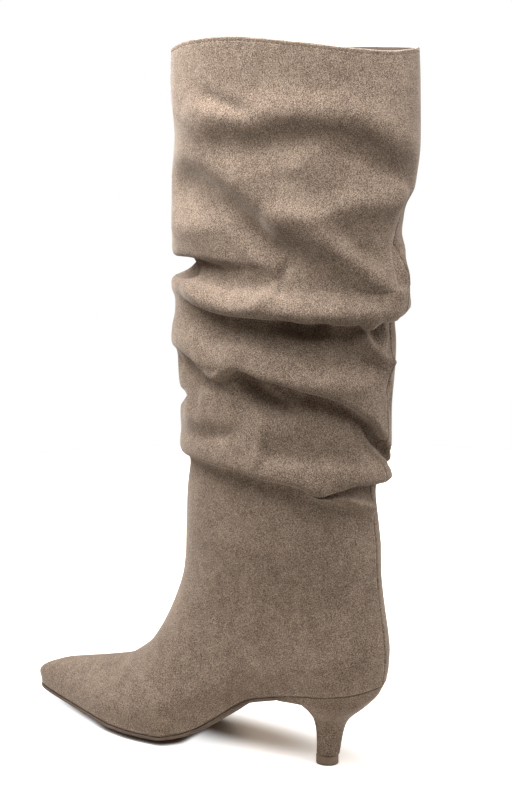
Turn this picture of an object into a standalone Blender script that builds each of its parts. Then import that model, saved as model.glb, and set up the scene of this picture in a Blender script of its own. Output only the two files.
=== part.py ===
"""Slouch boot for the left foot: suede upper, insole, thin outsole, covered heel and heel tip.

The origin is the middle of the heel tip's face on the floor. The toe points to -Y, the outer side of
the foot is +X and the leg rises along +Z. Lengths below are millimetres and meshes are metres.
"""
import math

import bpy
import numpy as np

# Driving dimensions
MM = 0.001
LENGTH = 269.0        # heel back to toe tip, in plan
HEEL_BACK = 40.0      # heel back to the middle of the heel tip
SEAT = 55.0           # height of the heel seat at its back
ANKLE = 86.0          # level above the seat where the leg becomes a plain tube
WALL = 1.8            # suede and lining together
GAP = 0.3             # space between pieces that meet
SOLE_THICK = 2.0      # at the edge; the tread's middle is thicker
SOLE_EDGE = 0.7       # how far the outsole stands out past the feather line
TREAD_SHARE = 0.62    # part of the width that lies flat on the floor
INSOLE_THICK = 2.0
POINT_HALF = 0.4      # half width of a sheet's pointed end
TIP_THICK = 6.0
HEEL_FRONT = 70.0     # where the heel's wings meet the outsole
TOE_TUCK = 2.0        # how far the feather line lies behind the nose
SECTION_POWER = 2.15  # roundness of the foot's cross sections
COLLAR = 433.0        # mean height of the collar's edge
COLUMNS = 40          # facets around the upper
SIDE_CROWD = 0.12     # crowds the columns toward the sides of the foot
SHAFT_ROWS = 47       # facets from ankle to collar
PLAIN_ROWS = 4        # rows of the plain tube under the collar
FOLD_ROOM = 42.0      # height one whole fold takes up
HANG_SHARE = 1.25     # how much of a fold's hang its tuck follows


def table(columns, rows):
    names = columns.split()
    return {name: np.array([row[i] for row in rows], float) for i, name in enumerate(names)}


# The last and sole, a row per station measured forward from the heel back: height of the feather line,
# half widths there and higher up, extra thickness of the tread's middle, sideways swing of the toe
LAST = table(
    "along bottom feather_out feather_in body_out body_in belly swing", [
        (0.0, 57.0, 0.0, 0.0, 0.0, 0.0, 0.0, 0.0),
        (5.0, 55.8, 14.0, 14.0, 15.5, 15.5, 0.0, 0.0),
        (13.0, 54.0, 20.3, 20.1, 23.0, 22.8, 0.0, 0.0),
        (31.0, 50.6, 24.0, 23.5, 28.2, 27.8, 0.0, 0.0),
        (52.0, 47.4, 23.6, 22.4, 29.6, 28.6, 0.0, 0.0),
        (70.0, 42.8, 22.3, 20.2, 30.4, 29.0, 0.3, 0.0),
        (84.0, 38.6, 22.4, 19.3, 31.2, 29.4, 0.4, 0.0),
        (96.0, 31.2, 23.6, 19.4, 32.4, 30.2, 0.6, 0.0),
        (107.0, 22.8, 25.8, 21.0, 34.2, 31.8, 0.9, 0.0),
        (120.0, 14.2, 29.0, 24.6, 36.8, 34.6, 1.6, 0.0),
        (133.0, 8.6, 32.2, 29.0, 39.0, 37.4, 2.6, 0.0),
        (146.0, 5.7, 35.2, 33.4, 40.5, 39.2, 3.4, 0.0),
        (165.0, 5.7, 36.3, 36.8, 40.4, 40.8, 3.4, -0.2),
        (182.0, 5.7, 34.2, 35.8, 37.4, 39.0, 3.4, -0.6),
        (205.0, 6.9, 28.0, 29.6, 30.2, 31.8, 3.0, -1.4),
        (232.0, 7.6, 18.8, 19.6, 20.4, 21.2, 2.2, -2.6),
        (253.0, 8.2, 11.4, 11.6, 12.4, 12.6, 1.6, -3.5),
        (263.0, 8.3, 6.9, 6.9, 7.6, 7.6, 1.2, -3.9),
        (LENGTH, 8.3, 0.0, 0.0, 0.0, 0.0, 0.8, -4.0),
    ])

# The vamp and instep seen from the side, from the nose up to the leg
CROWN = table("along height", [
    (LENGTH, 14.5), (266.5, 18.6), (262.0, 21.8), (256.0, 24.6), (244.0, 29.2), (227.0, 33.3),
    (210.0, 37.3), (191.0, 42.6), (178.0, 50.4), (166.5, 60.0), (156.5, 74.4), (148.8, 89.4),
    (144.2, 101.0), (141.2, 112.0), (139.9, 124.5), (139.2, SEAT + ANKLE),
])

# The back of the heel and ankle seen from the side
COUNTER = table("level along", [
    (0.0, 3.6), (8.0, 1.8), (18.0, 1.4), (30.0, 2.4), (43.0, 4.2), (56.0, 6.0), (69.0, 7.4), (ANKLE, 8.0),
])

# The leg without its folds, a row per height
LEG = table("height back front outer inner", [
    (95.0, 3.6, 147.0, 35.5, 35.0),
    (141.0, 8.0, 139.2, 38.5, 38.0),
    (162.0, 8.8, 139.0, 40.0, 39.5),
    (187.0, 6.0, 138.5, 42.0, 41.5),
    (206.0, 4.0, 140.0, 43.0, 42.5),
    (226.0, 3.0, 142.0, 44.0, 43.5),
    (245.0, 0.5, 144.5, 45.0, 44.5),
    (268.0, -2.0, 145.5, 46.0, 45.5),
    (290.0, -3.0, 145.0, 47.0, 46.5),
    (305.0, -5.5, 145.5, 47.5, 47.0),
    (321.0, -2.5, 145.7, 48.0, 48.0),
    (338.0, -4.0, 146.0, 49.0, 49.0),
    (356.0, -9.5, 146.0, 49.5, 49.5),
    (380.0, -12.5, 143.5, 50.0, 50.0),
    (412.0, -11.8, 146.0, 50.5, 50.5),
    (442.0, -10.0, 144.5, 51.0, 51.0),
])

# The collar's edge above its mean height, by turn: 0 back, 90 outer, 180 front, 270 inner
RIM = table("turn rise", [
    (0.0, -2.0), (20.0, -3.0), (44.0, -1.0), (66.0, 2.0), (98.0, 5.0), (124.0, 3.0), (153.0, -1.5),
    (190.0, -2.0), (270.0, 0.5), (330.0, 0.0),
])

# Slouch folds, top to bottom: the height of each lip, how far it stands out, how deep the wall tucks
# in below it and how far the lip hangs over the tuck
FOLDS = (
    table("turn height reach tuck hang", [
        (0.0, 314.0, 0.0, 0.0, 0.0),
        (65.0, 314.0, 0.0, 0.5, 0.0),
        (95.0, 312.0, 0.5, 4.0, 0.0),
        (125.0, 313.5, 2.0, 11.0, 2.0),
        (160.0, 311.5, 3.0, 14.0, 3.0),
        (205.0, 312.0, 2.5, 11.0, 2.0),
        (250.0, 316.0, 1.0, 4.0, 0.5),
        (300.0, 315.0, 0.0, 0.0, 0.0),
    ]),
    table("turn height reach tuck hang", [
        (0.0, 282.5, 5.0, 4.0, 2.5),
        (25.0, 277.5, 5.5, 8.5, 5.0),
        (60.0, 279.5, 5.5, 9.0, 6.0),
        (90.0, 281.0, 5.0, 8.0, 6.0),
        (115.0, 284.0, 4.0, 5.0, 4.0),
        (140.0, 289.0, 2.0, 0.5, 0.0),
        (200.0, 287.0, 2.0, 0.5, 0.0),
        (235.0, 281.0, 4.0, 6.0, 4.0),
        (290.0, 277.0, 6.0, 9.0, 6.0),
        (340.0, 284.0, 5.0, 4.0, 2.5),
    ]),
    table("turn height reach tuck hang", [
        (0.0, 205.0, 3.0, 4.0, 2.0),
        (20.0, 222.0, 4.0, 7.0, 4.0),
        (48.0, 236.0, 5.0, 9.0, 5.5),
        (79.0, 244.0, 5.5, 9.0, 6.0),
        (102.0, 249.0, 4.5, 7.0, 4.0),
        (130.0, 252.0, 3.0, 1.5, 1.0),
        (165.0, 256.0, 2.0, 0.8, 0.5),
        (220.0, 246.0, 4.0, 7.0, 4.0),
        (280.0, 233.0, 5.5, 9.0, 6.0),
        (330.0, 191.0, 3.5, 3.0, 1.5),
    ]),
    table("turn height reach tuck hang", [
        (0.0, 182.0, 5.0, 4.5, 3.0),
        (45.0, 181.0, 5.0, 4.5, 4.5),
        (82.0, 185.0, 5.0, 4.5, 4.5),
        (105.0, 189.0, 4.5, 4.0, 3.5),
        (130.0, 190.0, 3.5, 3.5, 2.5),
        (160.0, 189.0, 3.0, 3.0, 2.0),
        (215.0, 188.0, 4.0, 4.0, 3.0),
        (270.0, 183.0, 5.0, 4.5, 4.5),
        (320.0, 182.0, 4.5, 4.5, 3.5),
    ]),
)

# Points of one fold's profile, top to bottom: height from the lip, share of its reach, of its tuck and of its hang
PROFILE = table("height reach tuck hang", [
    (18.0, 0.45, 0.00, 0.0),
    (8.0, 0.95, 0.00, 0.0),
    (0.5, 1.15, 0.00, 0.0),
    (-2.5, 0.30, -0.30, 0.5),
    (-6.0, 0.00, -1.05, 1.0),
    (-12.0, 0.00, -0.95, 0.6),
    (-21.0, 0.00, -0.35, 0.0),
])

# Broad soft ridges and troughs on the upper tube: both ends by turn and height, depth and half width
DRAPES = table("turn_a height_a turn_b height_b depth width", [
    (150.0, 362.0, 52.0, 310.0, -4.0, 12.0),
    (56.0, 338.0, -16.0, 288.0, 3.0, 11.0),
    (120.0, 391.0, 4.0, 372.0, -2.0, 11.0),
    (255.0, 360.0, 330.0, 308.0, -3.5, 13.0),
])

# The covered heel, a row per section, floor to seat
HEEL = table("height_back height_front back front half_width corner", [
    (TIP_THICK + GAP, TIP_THICK + GAP, 32.6, 46.4, 6.8, 2.8),
    (14.0, 14.0, 31.4, 46.2, 7.3, 2.8),
    (19.6, 19.6, 30.4, 46.3, 7.9, 2.8),
    (25.4, 25.4, 28.8, 47.0, 9.0, 2.8),
    (30.0, 30.0, 26.2, 47.8, 11.2, 2.8),
    (34.0, 34.2, 22.2, 49.2, 14.6, 3.0),
    (38.0, 38.6, 17.4, 52.0, 18.2, 3.4),
    (43.0, 41.9, 12.2, 57.0, 21.2, 4.2),
    (48.4, 40.8, 7.4, 69.7, 22.6, 5.0),
])
HEEL_COLUMNS = 32
TIP_HALF = 7.2
TIP_FRONT = 47.2


def ease(value, low, high):
    t = np.clip((np.asarray(value, float) - low) / (high - low), 0.0, 1.0)
    return t * t * (3.0 - 2.0 * t)


def fair(x, y):
    """A smooth curve through rows that makes no waves between them."""
    x, y = np.asarray(x, float), np.asarray(y, float)
    step = np.diff(x)
    slope = np.diff(y) / step
    grad = np.zeros_like(y)
    grad[0], grad[-1] = slope[0], slope[-1]
    same = slope[:-1] * slope[1:] > 0.0
    near, far = slope[:-1][same], slope[1:][same]
    grad[1:-1][same] = 2.0 * near * far / (near + far)

    def at(q):
        q = np.clip(np.asarray(q, float), x[0], x[-1])
        i = np.clip(np.searchsorted(x, q, side="right") - 1, 0, len(step) - 1)
        h = step[i]
        t = (q - x[i]) / h
        lead = y[i] * (1.0 + 2.0 * t) * (1.0 - t) ** 2 + y[i + 1] * t * t * (3.0 - 2.0 * t)
        return lead + h * t * (1.0 - t) * (grad[i] * (1.0 - t) - grad[i + 1] * t)

    return at


def around(turns, values):
    """The same, for rows that go all the way around."""
    x = np.concatenate([turns[-2:] - 360.0, turns, turns[:2] + 360.0])
    y = np.concatenate([values[-2:], values, values[:2]])
    curve = fair(x, y)
    return lambda turn: curve(np.mod(turn, 360.0))


def swept(along):
    """Spreads stations so that the rounded ends of an outline stay round between rows."""
    return np.arccos(np.clip(1.0 - 2.0 * np.asarray(along, float) / LENGTH, -1.0, 1.0))


bottom = fair(LAST["along"], LAST["bottom"])
belly = fair(LAST["along"], LAST["belly"])
swing = fair(LAST["along"], LAST["swing"])
outlines = {name: fair(swept(LAST["along"]), LAST[name])
            for name in ("feather_out", "feather_in", "body_out", "body_in")}
counter = fair(COUNTER["level"], COUNTER["along"])
leg = {name: fair(LEG["height"], LEG[name]) for name in ("back", "front", "outer", "inner")}
rim = around(RIM["turn"], RIM["rise"])
folds = [{name: around(fold["turn"], fold[name]) for name in ("height", "reach", "tuck", "hang")}
         for fold in FOLDS]


def outline(name, station):
    return outlines[name](swept(station))


def leg_share(level):
    return ease(level, 18.0, ANKLE)


def level_height(level, along):
    """Levels follow the sole near the ground and lie flat at the ankle."""
    share = leg_share(level)
    return level + bottom(along) * (1.0 - share) + SEAT * share


def level_of(along, height):
    low, high = 0.0, ANKLE
    for _ in range(50):
        middle = 0.5 * (low + high)
        if level_height(middle, along) < height:
            low = middle
        else:
            high = middle
    return 0.5 * (low + high)


crown_levels = np.array([level_of(a, h) for a, h in zip(CROWN["along"], CROWN["height"])])
crown_along = fair(crown_levels, CROWN["along"])
crown_level = fair(CROWN["along"][::-1], crown_levels[::-1])


def foot_ring(level, turn):
    """One ring of the foot at a level above the feather line: x, along and height by turn."""
    share = leg_share(level)
    nose = LENGTH - TOE_TUCK * (1.0 - ease(level, 0.0, 10.0))
    front = min(nose, crown_along(level))
    back = counter(level)
    along = 0.5 * (front + back) - 0.5 * (front - back) * np.cos(turn)
    station = (along - back) / (nose - back) * LENGTH
    body = ease(level, 0.0, 24.0)
    outer = outline("feather_out", station) * (1.0 - body) + outline("body_out", station) * body
    inner = outline("feather_in", station) * (1.0 - body) + outline("body_in", station) * body
    top = np.maximum(crown_level(along), level) + 0.6 * np.maximum(CROWN["along"][-1] - along, 0.0)
    close = (1.0 - (level / top) ** SECTION_POWER) ** (1.0 / SECTION_POWER)
    side = np.where(np.sin(turn) >= 0.0, outer, -inner) * close
    height = level_height(level, along)
    calf = np.where(np.sin(turn) >= 0.0, leg["outer"](height), leg["inner"](height)) * np.sin(turn)
    x = side * (1.0 - share) + calf * share + swing(along) * (1.0 - share)
    return x, along, height


def drape(turn, height):
    """Depth of the broad folds at a place on the leg."""
    total = np.zeros_like(turn)
    reach_mean = 62.0
    for i in range(len(DRAPES["depth"])):
        start = np.array([DRAPES["turn_a"][i], DRAPES["height_a"][i]])
        run = np.array([DRAPES["turn_b"][i], DRAPES["height_b"][i]]) - start
        scale = np.array([math.radians(reach_mean), 1.0])
        away = np.mod(turn - start[0] - 0.5 * run[0] + 180.0, 360.0) - 180.0 + 0.5 * run[0]
        across = np.stack([away * scale[0], (height - start[1]) * scale[1]], -1)
        line = run * scale
        reach = np.clip(across @ line / (line @ line), 0.0, 1.0)
        distance = np.linalg.norm(across - reach[..., None] * line, axis=-1)
        fade = ease(reach, 0.0, 0.2) * ease(1.0 - reach, 0.0, 0.2)
        total += DRAPES["depth"][i] * fade * np.exp(-(distance / DRAPES["width"][i]) ** 2)
    return total


def shaft_profile(turn):
    """Heights and offsets of the leg's wall from ankle to collar at one turn, in degrees."""
    lips = [fold["height"](turn) for fold in folds]
    room = [1.0] + [min(1.0, (a - b) / FOLD_ROOM) for a, b in zip(lips[:-1], lips[1:])] + [1.0]
    top = COLLAR + rim(turn)
    first = lips[0] + PROFILE["height"][0]
    heights = [top + (first - top) * k / PLAIN_ROWS for k in range(PLAIN_ROWS)]
    offsets = [0.0] * PLAIN_ROWS
    for i, fold in enumerate(folds):
        squeeze = np.where(PROFILE["height"] > 0.0, room[i], room[i + 1])
        hang = HANG_SHARE * fold["hang"](turn) * PROFILE["hang"]
        heights.extend(lips[i] + squeeze * PROFILE["height"] + hang)
        offsets.extend(fold["reach"](turn) * PROFILE["reach"] + fold["tuck"](turn) * PROFILE["tuck"])
    heights.append(SEAT + ANKLE)
    offsets.append(0.0)
    return np.array(heights)[::-1], np.array(offsets)[::-1]


def spline(points, samples):
    """A cubic B-spline that starts and ends on its end points."""
    padded = np.concatenate([[2 * points[0] - points[1]], points, [2 * points[-1] - points[-2]]])
    t = np.linspace(0.0, len(points) - 1.0, samples)
    i = np.minimum(t.astype(int), len(points) - 2)
    f = t - i
    weights = ((1 - f) ** 3, 3 * f ** 3 - 6 * f ** 2 + 4, -3 * f ** 3 + 3 * f ** 2 + 3 * f + 1, f ** 3)
    return sum(w * padded[i + k] for k, w in enumerate(weights)) / 6.0


def leg_point(turn, height, offset):
    """A place on the leg at a turn in degrees, moved out along its plan normal."""
    angle = np.radians(turn)
    back, front = leg["back"](height), leg["front"](height)
    half = 0.5 * (front - back)
    wide = np.where(np.sin(angle) >= 0.0, leg["outer"](height), leg["inner"](height))
    nx, na = np.sin(angle) / wide, -np.cos(angle) / half
    size = np.hypot(nx, na)
    x = wide * np.sin(angle) + offset * nx / size
    along = 0.5 * (front + back) - half * np.cos(angle) + offset * na / size
    return x, along, height


def column_turns():
    turn = np.arange(COLUMNS) * 2.0 * math.pi / COLUMNS
    return np.degrees(turn + SIDE_CROWD * np.sin(2.0 * turn))


def upper_grid():
    """Outer wall of the upper, rings from the feather line to the collar."""
    turn = column_turns()
    rings = []
    for level in (0.0, 4.0, 9.0, 15.0, 20.0, 24.5, 28.5, 32.0, 36.0, 41.0, 47.0, 54.0, 62.0, 71.0, 80.0):
        rings.append(np.stack(foot_ring(level, np.radians(turn)), -1))
    shaft = []
    for angle in turn:
        heights, offsets = shaft_profile(angle)
        height = spline(heights, SHAFT_ROWS)
        offset = spline(offsets, SHAFT_ROWS)
        offset = offset + drape(np.full_like(height, angle), height)
        shaft.append(np.stack(leg_point(np.full_like(height, angle), height, offset), -1))
    grid = np.concatenate([np.array(rings), np.array(shaft).transpose(1, 0, 2)])
    grid[..., 1] = HEEL_BACK - grid[..., 1]
    return grid


def grid_normals(grid):
    """Outward normals of a closed tube of rings, level at its two open edges."""
    around_step = np.roll(grid, -1, 1) - np.roll(grid, 1, 1)
    up_step = np.gradient(grid, axis=0)
    normal = np.cross(up_step, around_step)
    for row in (0, -1):
        normal[row] = np.cross((0.0, 0.0, 1.0), around_step[row])
    return normal / np.linalg.norm(normal, axis=-1, keepdims=True)


def tube_faces(rows, columns, start, flip):
    faces = []
    for r in range(rows - 1):
        for c in range(columns):
            d = (c + 1) % columns
            quad = [start + (r + 1) * columns + c, start + (r + 1) * columns + d,
                    start + r * columns + d, start + r * columns + c]
            faces.append(quad[::-1] if flip else quad)
    return faces


def add_object(name, points, faces, colour, roughness):
    mesh = bpy.data.meshes.new(name)
    mesh.from_pydata([tuple(float(v) * MM for v in p) for p in points], [], faces)
    mesh.update()
    material = bpy.data.materials.new(name)
    material.use_nodes = True
    shader = material.node_tree.nodes["Principled BSDF"]
    shader.inputs["Base Color"].default_value = (*colour, 1.0)
    shader.inputs["Roughness"].default_value = roughness
    mesh.materials.append(material)
    obj = bpy.data.objects.new(name, mesh)
    bpy.context.scene.collection.objects.link(obj)
    return obj


# Facet stations of the feather line, shared by every piece that meets there
feather_ring = foot_ring(0.0, np.radians(column_turns()))
facet_stations = feather_ring[1][:COLUMNS // 2 + 1]
facet_heights = bottom(facet_stations)


def bed(along):
    """Height of the faceted surface that the upper and insole stand on."""
    slope = (facet_heights[1] - facet_heights[0]) / (facet_stations[1] - facet_stations[0])
    ahead = (facet_heights[-1] - facet_heights[-2]) / (facet_stations[-1] - facet_stations[-2])
    height = np.interp(along, facet_stations, facet_heights)
    height = height + slope * np.minimum(np.asarray(along) - facet_stations[0], 0.0)
    return height + ahead * np.maximum(np.asarray(along) - facet_stations[-1], 0.0)


def split_faces(faces, points):
    """Cuts each four-sided face along its shorter diagonal."""
    cut = []
    for a, b, c, d in faces:
        if np.linalg.norm(points[a] - points[c]) <= np.linalg.norm(points[b] - points[d]):
            cut += [[a, b, c], [a, c, d]]
        else:
            cut += [[a, b, d], [b, c, d]]
    return cut


def add_upper():
    outer = upper_grid()
    inner = outer - WALL * grid_normals(outer)
    inner[0, :, 2] = bed(HEEL_BACK - inner[0, :, 1])
    rows, columns = outer.shape[:2]
    count = rows * columns
    faces = tube_faces(rows, columns, 0, False) + tube_faces(rows, columns, count, True)
    for c in range(columns):
        d = (c + 1) % columns
        faces.append([c, d, count + d, count + c])
        top = (rows - 1) * columns
        faces.append([top + d, top + c, count + top + c, count + top + d])
    points = np.concatenate([outer.reshape(-1, 3), inner.reshape(-1, 3)])
    add_object("upper", points, split_faces(faces, points), (0.31, 0.24, 0.19), 0.9)


def add_sheet(name, stations, loops, colour, roughness):
    """A closed sheet: loops across the foot joined from heel to toe, each starting at the top outer edge."""
    count = len(loops[0])
    points = [(x, HEEL_BACK - a, z) for a, loop in zip(stations, loops) for x, z in loop]
    faces = []
    for r in range(len(loops) - 1):
        for c in range(count):
            d = (c + 1) % count
            faces.append([(r + 1) * count + c, (r + 1) * count + d, r * count + d, r * count + c])
    faces.append(list(range(count)))
    faces.append(list(range(len(points) - count, len(points)))[::-1])
    add_object(name, points, faces, colour, roughness)


def sole_sides(spread):
    """Both sides of the feather line moved out by a distance: stations and widths, heel to toe."""
    x, along = feather_ring[:2]
    dx, da = np.roll(x, -1) - np.roll(x, 1), np.roll(along, -1) - np.roll(along, 1)
    size = np.hypot(dx, da)
    x, along = x + spread * da / size, along - spread * dx / size
    half = COLUMNS // 2
    outer = np.arange(half + 1)
    inner = (COLUMNS - outer) % COLUMNS
    return (along[outer], x[outer]), (along[inner], x[inner])


def sole_widths(stations, spread):
    outer, inner = sole_sides(spread)
    return np.interp(stations, *outer), np.interp(stations, *inner)


def sole_stations(start, end):
    inside = facet_stations[(facet_stations > start + 0.5) & (facet_stations < end - 0.5)]
    return np.concatenate([[start], inside, [end]])


def add_outsole():
    stations = sole_stations(HEEL_FRONT + GAP, sole_sides(SOLE_EDGE)[0][0][-1])
    loops = []
    for a, xo, xi in zip(stations, *sole_widths(stations, SOLE_EDGE)):
        middle, half = 0.5 * (xo + xi), max(0.5 * (xo - xi), POINT_HALF)
        top = bed(a) - GAP
        edge, tread = top - SOLE_THICK, top - SOLE_THICK - belly(a)
        flat = TREAD_SHARE * half
        loops.append([(middle + half, top), (middle + half, edge), (middle + flat, tread),
                      (middle - flat, tread), (middle - half, edge), (middle - half, top)])
    add_sheet("outsole", stations, loops, (0.09, 0.06, 0.04), 0.6)


def add_insole():
    ends = sole_sides(-WALL - GAP)[0][0]
    stations = sole_stations(ends[0], ends[-1])
    loops = []
    for a, xo, xi in zip(stations, *sole_widths(stations, -WALL - GAP)):
        middle, half = 0.5 * (xo + xi), max(0.5 * (xo - xi), POINT_HALF)
        under = bed(a)
        top = under + INSOLE_THICK
        loops.append([(middle + half, top), (middle + half, under), (middle - half, under), (middle - half, top)])
    add_sheet("insole", stations, loops, (0.62, 0.52, 0.40), 0.8)


def heel_section(back, front, half_width, corner):
    """A rounded back and a squarer breast, by turn from the back."""
    turn = np.arange(HEEL_COLUMNS) * 2.0 * math.pi / HEEL_COLUMNS
    middle, half = 0.5 * (front + back), 0.5 * (front - back)
    power = np.where(np.cos(turn) < 0.0, 2.0 / corner, 1.0)
    along = middle - half * np.sign(np.cos(turn)) * np.abs(np.cos(turn)) ** power
    x = half_width * np.sign(np.sin(turn)) * np.abs(np.sin(turn)) ** power
    return x, along


def add_loft(name, rings, colour, roughness):
    """Closed rings joined in order, with strips across the first and the last."""
    rows, columns = len(rings), len(rings[0])
    points = np.concatenate(rings)
    faces = tube_faces(rows, columns, 0, False)
    for start, flip in ((0, False), ((rows - 1) * columns, True)):
        half = columns // 2
        for c in range(half):
            quad = [start + c, start + c + 1, start + (columns - c - 1) % columns, start + (columns - c) % columns]
            loop = [v for i, v in enumerate(quad) if v != quad[i - 1]]
            faces.append(loop[::-1] if flip else loop)
    add_object(name, points, faces, colour, roughness)


def add_heel():
    rings = []
    for i in range(len(HEEL["back"])):
        row = {name: HEEL[name][i] for name in HEEL}
        x, along = heel_section(row["back"], row["front"], row["half_width"], row["corner"])
        part = (along - row["back"]) / (row["front"] - row["back"])
        height = row["height_back"] + (row["height_front"] - row["height_back"]) * part
        rings.append(np.stack([x, HEEL_BACK - along, height], -1))
    back = sole_sides(0.2)[0][0][0]
    x, along = heel_section(back, HEEL_FRONT, 1.0, 6.0)
    outer, inner = sole_widths(along, 0.2)
    part = np.clip((along - 0.5 * HEEL_FRONT) / (0.5 * HEEL_FRONT), 0.0, 1.0)
    close = np.maximum(1.0 - part ** 8.0, 0.0) ** 0.125
    close = np.where(np.abs(x) < 1e-9, 0.0, np.maximum(close, 0.9))
    x = np.where(x > 0.0, outer, inner) * close
    rings.append(np.stack([x, HEEL_BACK - along, bed(along) - GAP], -1))
    add_loft("heel", rings, (0.29, 0.22, 0.17), 0.9)


def add_heel_tip():
    back = 2.0 * HEEL_BACK - TIP_FRONT
    rings = []
    for height in (0.0, TIP_THICK):
        x, along = heel_section(back, TIP_FRONT, TIP_HALF, 3.0)
        rings.append(np.stack([x, HEEL_BACK - along, np.full_like(x, height)], -1))
    add_loft("heel_tip", rings, (0.10, 0.075, 0.055), 0.6)


for old in list(bpy.data.objects):
    bpy.data.objects.remove(old, do_unlink=True)
add_upper()
add_insole()
add_outsole()
add_heel()
add_heel_tip()
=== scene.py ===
import math

import bpy
import numpy as np
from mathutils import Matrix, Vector


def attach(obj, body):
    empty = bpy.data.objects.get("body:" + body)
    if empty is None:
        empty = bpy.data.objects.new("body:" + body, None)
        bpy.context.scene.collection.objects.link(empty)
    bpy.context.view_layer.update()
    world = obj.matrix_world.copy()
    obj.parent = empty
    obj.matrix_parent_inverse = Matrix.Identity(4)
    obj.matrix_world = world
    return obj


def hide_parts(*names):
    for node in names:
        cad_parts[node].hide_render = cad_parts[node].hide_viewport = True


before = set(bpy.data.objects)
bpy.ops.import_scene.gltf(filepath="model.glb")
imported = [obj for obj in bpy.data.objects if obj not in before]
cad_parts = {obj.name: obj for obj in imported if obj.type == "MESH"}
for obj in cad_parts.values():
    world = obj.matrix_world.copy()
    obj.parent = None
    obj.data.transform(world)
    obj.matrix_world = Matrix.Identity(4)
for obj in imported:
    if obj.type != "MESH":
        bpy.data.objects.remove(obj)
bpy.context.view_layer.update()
print("frame loaded:", ", ".join(sorted(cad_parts)))


toMetres = 0.001  # the script works in millimetres


# Curves and tables
def columns(names, rows):
    return {name: np.array([row[i] for row in rows], float) for i, name in enumerate(names.split())}


def ease(value, low, high):
    t = np.clip((np.asarray(value, float) - low) / (high - low), 0.0, 1.0)
    return t * t * (3.0 - 2.0 * t)


def hump(value, at, width):  # 1 at the place, fading to both sides
    return np.exp(-((value - at) / width) ** 2)


def fair(x, y):  # smooth through the rows, no waves between them
    x = np.asarray(x, float)
    y = np.asarray(y, float)
    step = np.diff(x)
    slope = np.diff(y) / step
    grad = np.zeros_like(y)
    grad[0] = slope[0]
    grad[-1] = slope[-1]
    same = slope[:-1] * slope[1:] > 0.0
    near = slope[:-1][same]
    far = slope[1:][same]
    grad[1:-1][same] = 2.0 * near * far / (near + far)

    def at(q):
        q = np.clip(np.asarray(q, float), x[0], x[-1])
        i = np.clip(np.searchsorted(x, q, side="right") - 1, 0, len(step) - 1)
        h = step[i]
        t = (q - x[i]) / h
        lead = y[i] * (1.0 + 2.0 * t) * (1.0 - t) ** 2 + y[i + 1] * t * t * (3.0 - 2.0 * t)
        return lead + h * t * (1.0 - t) * (grad[i] * (1.0 - t) - grad[i + 1] * t)

    return at


def around(turns, values):
    x = np.concatenate([turns[-2:] - 360.0, turns, turns[:2] + 360.0])
    y = np.concatenate([values[-2:], values, values[:2]])
    curve = fair(x, y)
    return lambda turn: curve(np.mod(turn, 360.0))


def splineAt(points, t):  # cubic B-spline, t counts control points
    padded = np.concatenate([[2 * points[0] - points[1]], points, [2 * points[-1] - points[-2]]])
    i = np.clip(t.astype(int), 0, len(points) - 2)
    f = t - i
    weights = ((1 - f) ** 3, 3 * f ** 3 - 6 * f ** 2 + 4, -3 * f ** 3 + 3 * f ** 2 + 3 * f + 1, f ** 3)
    return sum(w * padded[i + k] for k, w in enumerate(weights)) / 6.0


# The last: sole line, foot and ankle
bootLast = {
    "length": 269.0,
    "heelBack": 40.0,
    "seat": 55.0,
    "ankle": 86.0,
    "legFrom": 18.0,  # level where the foot starts to turn into the leg
    "bodyLevel": 24.0,  # level where a section has its full width
    "instep": 143.0,
    "instepLean": (1.3, 0.03),  # how a section's top rises behind the instep, straight and curved
    "toeTuck": 3.4,
    "tuckLevel": 10.0,
    "sectionPower": 2.15,
    "stations": columns("along bottom featherOut featherIn bodyOut bodyIn belly swing", [
        (0, 57, 0, 0, 0, 0, 0, 0),
        (5, 55.8, 14, 14, 15.5, 15.5, 0, 0),
        (13, 54, 20.3, 20.1, 23, 22.8, 0, 0),
        (31, 50.6, 24, 23.5, 28.2, 27.8, 0, 0),
        (52, 47.4, 23.6, 22.4, 29.6, 28.6, 0, 0),
        (70, 42.8, 22.3, 20.2, 30.4, 29, 0.3, 0),
        (84, 38.6, 22.4, 19.3, 31.2, 29.4, 0.4, 0),
        (96, 31.2, 23.6, 19.4, 32.4, 30.2, 0.6, 0),
        (107, 22.8, 25.8, 21, 34.2, 31.8, 0.9, 0),
        (120, 14.2, 29, 24.6, 36.8, 34.6, 1.6, 0),
        (133, 8.6, 32.2, 29, 39, 37.4, 2.6, 0),
        (146, 5.7, 35.2, 33.4, 40.5, 39.2, 3.4, 0),
        (165, 5.7, 36.3, 36.8, 40.4, 40.8, 3.4, -0.2),
        (182, 5.7, 34.2, 35.8, 37.4, 39, 3.4, -0.6),
        (205, 6.9, 28, 29.6, 30.2, 31.8, 3, -1.4),
        (232, 7.6, 18.8, 19.6, 20.4, 21.2, 2.2, -2.6),
        (253, 8.2, 11.4, 11.6, 12.4, 12.6, 1.6, -3.5),
        (263, 8.3, 6.9, 6.9, 7.6, 7.6, 1.2, -3.9),
        (269, 8.3, 0, 0, 0, 0, 0.8, -4),
    ]),
    "crown": columns("along height", [
        (269, 14.5), (266.5, 18.6), (262, 21.8), (256, 24.6), (244, 29.2), (227, 33.3),
        (210, 37.3), (191, 42.6), (178, 50.4), (166.5, 60), (156.5, 74.4), (148.8, 89.4),
        (144.2, 101), (141.2, 112), (139.9, 124.5), (139.2, 141),
    ]),
    "counter": columns("level along", [
        (0, 3.6), (8, 1.8), (18, 1.4), (30, 2.4), (43, 4.2), (56, 6), (69, 7.4), (86, 8),
    ]),
}


def swept(along):  # keeps the rounded ends of an outline round
    return np.arccos(np.clip(1.0 - 2.0 * np.asarray(along, float) / bootLast["length"], -1.0, 1.0))


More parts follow.
